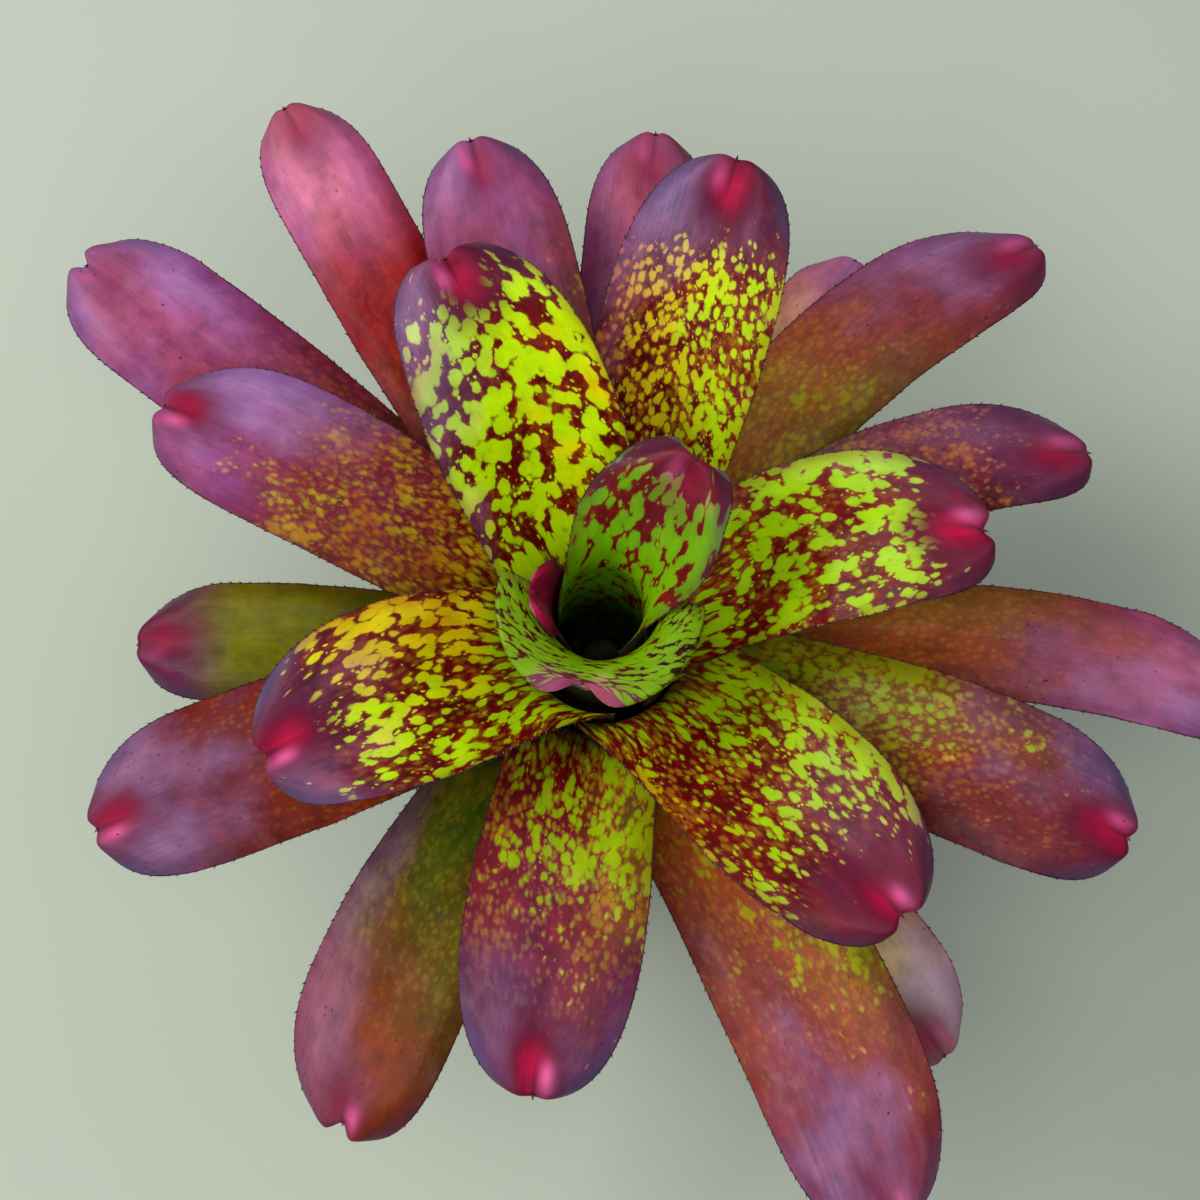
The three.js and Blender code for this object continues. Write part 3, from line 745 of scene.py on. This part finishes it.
def dabs(apart, threshold, shift, smooth):
    """How far inside a round spot: below 0 outside, above 0 inside."""
    jog = (flesh + shift).noise(0.55, 3.0, 0.6) - 0.5
    place = pen.vector(skin_length + jog * 2.0, skin_across + jog * 1.8, seed + shift[2])
    return threshold - (place / apart).cells("SMOOTH_F1", Smoothness=smooth)


streaky = 1 - past_bend.ease(*STREAKS_FADE)
to_bare = from_tip - bare_tip * ((broad - 0.5) * 1.4 + (patchy - 0.5) * 1.6 + 1)
fading = 1 - to_bare.ease(bare_tip * -0.35, bare_tip * 0.75 + 2)
gather = (clump - 0.5) * 2.0 * (1 - streaky * 0.7) * clumping
dense = cover + streaky * (0.8 - cover) * 0.3 + gather + q * spot_side - fading * 0.95
large = dabs(spot_size, dense * 0.5 + 0.25, (0, 0, 0), 0.4)
small = dabs(spot_size * SMALLER, dense * 0.4 + 0.04, (17, 5, 50), 0.2)
depth = large.most(small)
width = soft * 0.22 + 0.045
spotted = depth.ease(-width, width) * (1 - soft * 0.4) * (1 - fading * 0.4) * (1 - underside * 0.6)
spotted = spotted * cover.ease(0, 0.12)
pen.report("with its spots")

# %% Skin: the paint of the spots
ripe = (yellow + (patchy - 0.5) * 0.9 + (broad - 0.5) * 0.8 + q * ripe_side - streaky * 0.6).inside()
spot_paint = ripe.ease(0.05, 0.5).paint(PALETTE["lime"], PALETTE["yellow"])
spot_paint = spot_paint.under("amber", ripe.ease(0.5, 0.95))
unripe = (1 - past_bend.ease(*GREEN_BELOW)).most(-yellow)
spot_paint = spot_paint.under("leaf_green", unripe)
spot_paint = spot_paint * (1 - age * 0.58)
spot_paint = spot_paint.under("cream", fading * 0.35)
spot_paint = spot_paint * (depth.ease(-0.05, 0.15) * 0.25 + 0.78) * ((mottle + clump - 1) * 0.45 + 1)
stippled = dabs(STIPPLE_APART, (patchy - 0.5) * 0.9 + 0.42, (29, 3, 80), 0.3).ease(-0.16, 0.3)
stippled = stippled * stipple * (1 - ragged_along.ease(0.4, 0.95)) * (1 - underside * 0.6)
skin = (stippled * 0.5).paint(ground, ripe.paint(PALETTE["yellow"], PALETTE["amber"]))
round_spots = depth.ease(-0.2, 0) * halo * (1 - fading * 0.7) * (mottle * 1.6 - 0.2)
skin = skin.under("rust", round_spots)
skin = spotted.paint(skin, spot_paint)
pen.report("with their paint")

# %% [markdown]
# Over the spots lies the bloom, a lilac film of wax along the sides and over the end that is
# partly a painted sheen. An old blade gets a painted highlight along its crown, every blade is
# darker and redder towards its margin, partly its own colour and partly painted shade, and a
# painted slate reflection runs up both sides of the tip.

# %% Skin: bloom and margin, with painted sheen, highlight and reflection
CROWN_SHEEN_TINT, MARGIN_TINT_AND_SHADE = (1.22, 1.18, 1.2), (0.7, 0.4, 0.6)
# Lilac bloom: partly a film of wax, partly a painted sheen where the blade turns towards the light.
wax_and_sheen = lilac * (along + (broad - 0.5) * 1.0 + (patchy - 0.5) * 0.6 + q * lilac_side * 0.5).ease(0.6, 1.2)
skin = skin.under("lilac", wax_and_sheen * (veins * 0.5 + mottle * 0.5 + 0.1))
# Painted highlight: old blades are lighter along the middle of the outer blade.
crown_sheen = (1 - abs(q)).ease(0.1, 0.9) * along.ease(0.4, 0.8) * age * 0.7
skin = crown_sheen.paint(skin, skin * CROWN_SHEEN_TINT)
# Darker and redder towards the margin: partly the leaf's own colour, partly painted shade.
margin = (1 - to_edge.ease(0, age * 5 + 4)) * along.ease(0, 0.3) * 0.75
skin = margin.paint(skin, skin * MARGIN_TINT_AND_SHADE)
# Painted reflection: a slate band up both sides of the tip, where it turns down.
tip_rim_reflection = (1 - to_tip.ease(2, 26)) * (1 - to_edge.ease(0.5, 6))
skin = skin.under("slate", tip_rim_reflection * slate * 0.8)
pen.report("with bloom and margin")

# %% [markdown]
# The tip glows: a magenta heart a few millimetres in from the point, a wider halo of dark red
# round it, a painted pink highlight beside the midrib, and a black crease of painted shade where
# the blade is pinched. All four are drawn by distances in millimetres, so they keep their size on
# a leaf of any length.

# %% Skin: tip
HEART = dict(across=-1, from_tip=6.5)
FLASH_HIGHLIGHT = dict(across=2.8, half=1.7, from_tip=4.5, half_length=3.2)
CREASE_SHADE = dict(half=0.6, from_tip=1, half_length=7)
off, past_heart = across - HEART["across"], to_tip - HEART["from_tip"]
tip_far = (past_heart * past_heart * 0.6 + off * off * 1.3).sqrt() + (patchy - 0.5) * 5
glow = magenta * (1 - underside)
skin = skin.under("blood", (1 - tip_far.ease(1, 15)) * glow * 1.2)
skin = skin.under("magenta", (1 - tip_far.ease(-1, 7)) * glow * glow * (mottle * 1.2 + 0.3))
# Painted highlight: a pink light on one side of the midrib near the tip.
flash_highlight = (across - FLASH_HIGHLIGHT["across"]).bell(FLASH_HIGHLIGHT["half"])
flash_highlight = flash_highlight * (to_tip - FLASH_HIGHLIGHT["from_tip"]).bell(FLASH_HIGHLIGHT["half_length"])
skin = skin.under("pink", flash_highlight * pink * 0.75)
# Painted shade: a dark red line along the pinched crease of the tip.
crease = across.bell(CREASE_SHADE["half"]) * (to_tip - CREASE_SHADE["from_tip"]).bell(CREASE_SHADE["half_length"]) * glow
skin = skin.under("black_red", crease * 0.6)
pen.report("with its tip")

# %% [markdown]
# Last come the dark hard rim, a few black specks and pits, the pale bands of scurf that cross the
# underside, and painted shade that darkens each leaf towards its foot, deep in the urn and under
# the leaves above it.

# %% Skin: rim, specks, underside and painted shade
SPECKS_APART, PITS_APART = 9, 2.4      # mm
PAINTED_SHADE_FADES = 50                       # mm
rim = 1 - (to_edge + (mottle - 0.5) * 0.5).ease(0.1, 0.5)
skin = skin.under("ink", rim * along.ease(-0.3, 0.2) * 0.7)
specks = 1 - (flesh / SPECKS_APART).cells().ease(0.02, 0.05)
pits = (1 - (flesh / PITS_APART).cells().ease(0.06, 0.2)) * patchy.ease(0.5, 0.62) * (age * 0.8 + 0.2)
skin = skin.under("speck", (specks * 0.8).most(pits * 0.6))
bands = pen.vector(skin_length * 0.4, skin_across * 0.03, seed).noise(1.0, 3.0, 0.6).ease(0.42, 0.62)
skin = skin.under("scurf", underside * (bands * 0.4 + 0.12))
# Painted shade: each leaf darkens towards its foot, down in the urn and under the leaves above.
skin = skin * (past_bend.ease(shade_depth - PAINTED_SHADE_FADES, shade_depth) * 0.97 + 0.03)
pen.report("with rim and specks")

# %% [markdown]
# The skin is satin: a rough gloss that follows the scurf, duller under the wax and painted sheen,
# and a faint bump of lengthwise veins. It stays in the material, because veins so fine would cost
# millions of faces.

# %% Skin: gloss and bump
VEIN_HEIGHT = 0.5
height = veins * 0.7 + scurf * 0.3 + mottle * 0.4
bump = pen.node("ShaderNodeBump", None, {"Height": height, "Strength": 0.3, "Distance": VEIN_HEIGHT * MM})
gloss = 0.32 + scurf * 0.16 + wax_and_sheen * 0.1 + glow * (1 - tip_far.ease(2, 14)) * 0.2
shader = pen.node("ShaderNodeBsdfPrincipled", None,
                  {"Base Color": skin, "Roughness": gloss, "Normal": bump, "Coat Weight": 0.02,
                   "Coat Roughness": 0.25, "Specular IOR Level": 0.13})
pen.node("ShaderNodeOutputMaterial", None, {"Surface": shader})
pen.report("leaf skin")

# %% [markdown]
# ## Stem and pot
#
# The stem and the pot are turned shapes. A profile of radius and height is rounded at its corners
# and swung round the axis, which gives clean edge loops that a scaled cylinder would not have.
# A helper adds points where a relief needs them, and another rounds corners without a bevel.

# %% Turning
SHARP_FROM = math.radians(50)
CLOSE = 0.45               # share of a side that the rounding of a corner may take


def rounded(profile, cut, steps=5):
    """The profile with each corner replaced by a small curve."""
    made = [profile[0]]
    for before, corner, after in zip(profile, profile[1:], profile[2:]):
        a, b, c = (Vector(p) for p in (before, corner, after))
        taken = min(cut, CLOSE * (a - b).length, CLOSE * (c - b).length)
        start, end = b + (a - b).normalized() * taken, b + (c - b).normalized() * taken
        for k in range(steps + 1):
            share = k / steps
            made.append(tuple(start.lerp(b, share).lerp(b.lerp(end, share), share)))
    return made + [profile[-1]]


def turned(name, profile, sides, relief=lambda r, z, angle: (r, z)):
    """Swings a profile that starts and ends on the axis into a closed mesh, in millimetres."""
    points, faces, rings = [], [], []
    for r, z in profile:
        if r < 1e-6:
            rings.append([len(points)] * sides)
            points.append((0, 0, z * MM))
            continue
        rings.append(range(len(points), len(points) + sides))
        for k in range(sides):
            angle = 2 * math.pi * k / sides
            bumped_r, bumped_z = relief(r, z, angle)
            points.append((bumped_r * math.cos(angle) * MM, bumped_r * math.sin(angle) * MM, bumped_z * MM))
    for low, high in zip(rings, rings[1:]):
        for k in range(sides):
            corners = [low[k], low[(k + 1) % sides], high[(k + 1) % sides], high[k]]
            faces.append(list(dict.fromkeys(corners)))
    mesh = bpy.data.meshes.new(name)
    mesh.from_pydata(points, [], faces)
    mesh.shade_smooth()
    mesh.set_sharp_from_angle(angle=SHARP_FROM)
    return in_scene(name, mesh)


def fine(profile, step):
    """More points along the same line, no further than a step apart."""
    made = [profile[0]]
    for start, end in zip(profile, profile[1:]):
        count = max(1, math.ceil(math.dist(start, end) / step))
        made += [tuple(a + (b - a) * k / count for a, b in zip(start, end)) for k in range(1, count + 1)]
    return made


print("a corner is rounded with", len(rounded([(0, 0), (1, 0), (1, 1)], 0.3)) - 2, "points")

# %% [markdown]
# The stem widens upwards from its root and narrows again through the bases of the leaves. It
# carries the rings that old leaves left behind: a sine of the height, sharpened by a power.

# %% Stem
def stem_radius_at(shell):
    return STEM["top_radius"] + (STEM["neck_radius"] - STEM["top_radius"]) * shell / URN["last_shell"]


def foot_height_at(shell):
    bowl = URN["first_radius"] + URN["shell_step"] * shell - URN["centre_radius"]
    inset = stem_radius_at(shell) + STEM["gap"] - URN["centre_radius"]
    return URN["centre_height"] - math.sqrt(bowl ** 2 - inset ** 2)


STEM_LINE = [(0, SOIL_TOP - STEM["root_depth"]), (STEM["root_radius"], SOIL_TOP - STEM["root_depth"]),
             (STEM["neck_radius"], SOIL_TOP - STEM["neck_depth"])]
STEM_LINE += [(stem_radius_at(shell), foot_height_at(shell)) for shell in range(URN["last_shell"], -1, -1)]
STEM_LINE += [(0, foot_height_at(0) + STEM["dome"])]


def scarred(r, z, angle):
    """The rings of old leaves and a little roughness, cut into the stem."""
    ring = abs(math.sin(z * 0.9 + 0.8 * math.sin(angle + 0.3 * z)))
    return r - 0.35 * (1 - ring) ** 3 - 0.25 * (1 + noise.noise(Vector((angle * 2, z * 0.5, 3)))), z


stem = turned("ringed_stem", fine(rounded(STEM_LINE, STEM["edge"]), 0.7), 72, scarred)
dress(stem, "stem")

# %% [markdown]
# The pot is the plain black sort that nurseries use, with a collar to lift it by. Its outline runs
# from the middle of the underside up the outside and down again inside. Six drills cut the holes
# for the water: a Boolean is the simple way to put a round hole in a turned floor.

# %% Pot
def wall_at(z):
    return POT["foot_radius"] + (POT["rim_radius"] - POT["collar"] - POT["foot_radius"]) * z / POT["height"]


def bore_at(z):
    return wall_at(z) - POT["wall"]


DRILL_REACH = 9
base, brim, top = POT["foot_radius"], POT["rim_radius"], POT["height"]
rim_foot, ring = top - POT["rim_height"], base - POT["foot_ring"]
pot_line = rounded([
    (0, POT["hollow"]), (ring + POT["undercut"], POT["hollow"]), (ring, 0), (base, 0),
    (wall_at(rim_foot), rim_foot), (brim - POT["draft"], rim_foot), (brim, top),
    (bore_at(top), top), (bore_at(POT["floor"]), POT["floor"]), (0, POT["floor"])], POT["edge"])
pot = turned("nursery_pot", pot_line, 144)
bit = [(0, -DRILL_REACH), (POT["hole_radius"], -DRILL_REACH), (POT["hole_radius"], DRILL_REACH),
       (0, DRILL_REACH)]
drills = []
for k in range(POT["holes"]):
    angle = 2 * math.pi * k / POT["holes"]
    drill = turned("drill", bit, 40)
    drill.location = (POT["hole_ring"] * math.cos(angle) * MM, POT["hole_ring"] * math.sin(angle) * MM, 0)
    cut = pot.modifiers.new("hole", "BOOLEAN")
    cut.operation, cut.solver, cut.object = "DIFFERENCE", "EXACT", drill
    drills.append(drill)
pot = plain_mesh("nursery_pot_drilled", start=pot)
for drill in drills:
    bpy.data.objects.remove(drill)
pot.data.set_sharp_from_angle(angle=SHARP_FROM)
dress(pot, "pot")

# %% [markdown]
# ## Potting mix
#
# Bromeliads grow in a loose mix of bark, peat and white perlite. The bed is a turned shape with a
# rough top and a hole for the stem. Geometry Nodes scatter the bits on its top: points on the
# faces that look up, a crumb from a small list on each point, turned and sized at random with a
# fixed seed. Modelling the bits one by one would take days and look no better.

# %% Bed
PLAY = 0.3                 # gap between the mix and the pot or the stem


def crumbled(r, z, angle):
    """Heaps and grains on the top of the bed, but not at the pot's wall."""
    x, y = r * math.cos(angle), r * math.sin(angle)
    if z < SOIL_TOP - 1 or r > bore_at(SOIL_TOP) - 0.5:
        return r, z
    heaps = 1.6 * noise.noise(Vector((x * 0.13, y * 0.13, 1)))
    grains = 0.7 * noise.noise(Vector((x * 0.5, y * 0.5, 4)))
    return r, z + (heaps + grains) - 0.3


def bed_line():
    floor, root = POT["floor"] + PLAY, SOIL_TOP - STEM["root_depth"] - PLAY
    outer = [(bore_at(z) - PLAY, z) for z in (floor, SOIL_TOP)]
    neck = STEM["neck_radius"] + PLAY
    hole = [(neck, SOIL_TOP), (neck, SOIL_TOP - STEM["neck_depth"]), (STEM["root_radius"] + PLAY, root)]
    return fine([(0, floor), *outer, *hole, (0, root)], 1.6)


bed = turned("bed", bed_line(), 120, crumbled)
print("bed:", len(bed.data.polygons), "faces")

# %% Crumbs
CRUMB_SIDES, CRUMB_RINGS = 6, 4
# kind, size in mm, flatness, crumbs to the square metre, seed
SCATTER = (("bark", 2.6, 0.32, 42000, 11), ("bark", 1.5, 0.5, 90000, 23), ("perlite", 1.25, 0.8, 14000, 37))


def crumb(name, size, flat, seed):
    """A small broken lump: a coarse ball pushed about by noise and flattened."""
    def broken(r, z, angle):
        wider = 1 + 0.6 * noise.noise(Vector((math.cos(angle) * 2, z / size, seed)))
        return r * wider, z * (1 + 0.5 * noise.noise(Vector((seed, math.sin(angle) * 2, 0))))

    turns = [math.pi * k / CRUMB_RINGS for k in range(CRUMB_RINGS + 1)]
    ball = [(size * math.sin(a), size * flat * -math.cos(a)) for a in turns]
    made = turned(name, ball, CRUMB_SIDES, broken)
    made.data.shade_flat()
    return made


pen, given = new_tree("potting_mix")
ground_mesh = given["Geometry"]
_, _, upward = pen.node("GeometryNodeInputNormal").parts()
_, _, level = pen.node("GeometryNodeInputPosition").parts()
on_top = (upward - 0.6).least((level - (SOIL_TOP - 1.5) * MM) * 1000).ease(0, 0.05)
SOIL_PAINT = {name: bpy.data.materials.new(name) for name in ("peat", "bark", "perlite")}
bits, crumbs = [], []
for kind, size, flat, density, seed in SCATTER:
    crumbs.append(crumb(f"{kind}_{seed}", size, flat, seed))
    lump = pen.node("GeometryNodeObjectInfo", None, {"Object": crumbs[-1]}, "Geometry")
    spots = pen.node("GeometryNodeDistributePointsOnFaces", None,
                     {"Mesh": ground_mesh, "Selection": on_top, "Density": float(density), "Seed": seed})
    turn = pen.node("FunctionNodeRandomValue", {"data_type": "FLOAT_VECTOR"},
                    {"Min": (-0.5, -0.5, 0.0), "Max": (0.5, 0.5, 6.28), "Seed": seed})
    grow = pen.node("FunctionNodeRandomValue", {"data_type": "FLOAT_VECTOR"},
                    {"Min": (0.5, 0.4, 0.6), "Max": (1.2, 0.9, 1.2), "Seed": seed + 1})
    laid = pen.node("GeometryNodeInstanceOnPoints", None,
                    {"Points": spots, "Instance": lump, "Rotation": turn, "Scale": grow})
    bits.append(laid.real().coat(SOIL_PAINT[kind]))
pen.node("NodeGroupOutput", None, {0: ground_mesh.coat(SOIL_PAINT["peat"]).join(*bits).real()})
bed.modifiers.new("mix", "NODES").node_group = pen.tree
soil = plain_mesh("potting_mix", start=bed)
for lump in crumbs:
    bpy.data.objects.remove(lump)
dress(soil, "soil")

# %% [markdown]
# ## Plain finishes
#
# Horn, stem, plastic and soil are simple beside the skin: each is two paints mixed by noise in
# the object's own coordinates, with a little bump so that the light breaks on it.

# %% Finishes
def finish(material, paints, scale, roughness, bump, stretch=(1, 1, 1)):
    """A satin or matt finish between two paints, uneven at the given scale per metre."""
    pen = fresh(material)
    place = pen.node("ShaderNodeTexCoord", out="Object") * stretch
    coarse, small = (place.noise(scale * times, 4.0, 0.6) for times in (1.0, 6.0))
    paint = coarse.ease(0.35, 0.65).paint(colour(paints[0]), colour(paints[1])) * (small * 0.5 + 0.75)
    relief = pen.node("ShaderNodeBump", None,
                      {"Height": coarse + small * 0.4, "Strength": 0.5, "Distance": bump * MM})
    shader = pen.node("ShaderNodeBsdfPrincipled", None,
                      {"Base Color": paint, "Roughness": roughness + (small - 0.5) * 0.2, "Normal": relief})
    pen.node("ShaderNodeOutputMaterial", None, {"Surface": shader})


for piece, name in ((stem, "stem_fibre"), (pot, "black_plastic")):
    piece.data.materials.clear()
    piece.data.materials.append(bpy.data.materials.new(name))
finish(HORN, ("#22080e", "#4a1020"), 400, 0.35, 0.05)
finish(POINT_HORN, ("#34081a", "#80203c"), 400, 0.3, 0.05)
finish(stem.data.materials[0], ("#2c2410", "#4a4420"), 300, 0.8, 0.4, (1, 1, 0.4))
finish(pot.data.materials[0], ("#1b1c1d", "#242627"), 60, 0.5, 0.08)
finish(SOIL_PAINT["peat"], ("#140c07", "#2a1a10"), 500, 0.95, 0.6)
finish(SOIL_PAINT["bark"], ("#3a2213", "#6a452a"), 350, 0.85, 0.4)
finish(SOIL_PAINT["perlite"], ("#c9c5ba", "#e6e3da"), 900, 0.9, 0.2)
print("finishes:", ", ".join(m.name for m in bpy.data.materials))

# %% [markdown]
# ## Light and floor
#
# A plain pale floor and large soft lights: the leaves are satin, so they show the lights as broad
# sheens. The biggest light stands to the left, a second one hangs overhead, and two weak ones
# keep the shaded sides readable.

# %% Light and floor
# name, place in metres, width in metres, watts, tint
LIGHTS = (("window", (-0.95, 0.3, 1.1), 0.7, 14, (1.0, 0.985, 0.96)),
          ("sky", (-0.15, -0.45, 1.45), 0.8, 8, (1.0, 0.99, 0.97)),
          ("fill", (0.9, 0.3, 1.2), 1.2, 4, (0.9, 0.94, 1.0)),
          ("front", (-0.7, -0.9, 0.6), 0.8, 1.5, (1.0, 0.97, 0.94)))
SKY_TINT, SKY_STRENGTH = (0.86, 0.92, 1.0, 1), 0.2
FLOOR_REACH = 4.0
for name, place, size, watts, tint in LIGHTS:
    light = bpy.data.lights.new(name, "AREA")
    light.shape, light.size, light.energy, light.color = "SQUARE", size, watts, tint
    lamp = in_scene(name, light)
    lamp.location = place
    lamp.rotation_euler = (AIM - Vector(place)).to_track_quat("-Z", "Y").to_euler()
world = bpy.data.worlds.new("sky")
world.use_nodes = True
backdrop = world.node_tree.nodes["Background"].inputs
backdrop["Color"].default_value, backdrop["Strength"].default_value = SKY_TINT, SKY_STRENGTH
bpy.context.scene.world = world
bpy.context.scene.view_settings.view_transform = "Standard"

floor_mesh = bpy.data.meshes.new("floor")
corners = [(x * FLOOR_REACH, y * FLOOR_REACH, 0) for x, y in ((-1, -1), (1, -1), (1, 1), (-1, 1))]
floor_mesh.from_pydata(corners, [], [(0, 1, 2, 3)])
floor = in_scene("floor", floor_mesh)
paper = bpy.data.materials.new("paper")
paper.use_nodes = True
sheet = paper.node_tree.nodes["Principled BSDF"].inputs
sheet["Base Color"].default_value, sheet["Roughness"].default_value = colour("#b9c2b2"), 0.9
floor_mesh.materials.append(paper)
print(len(LIGHTS), "lights over", 2 * FLOOR_REACH, "m of floor")

# %% [markdown]
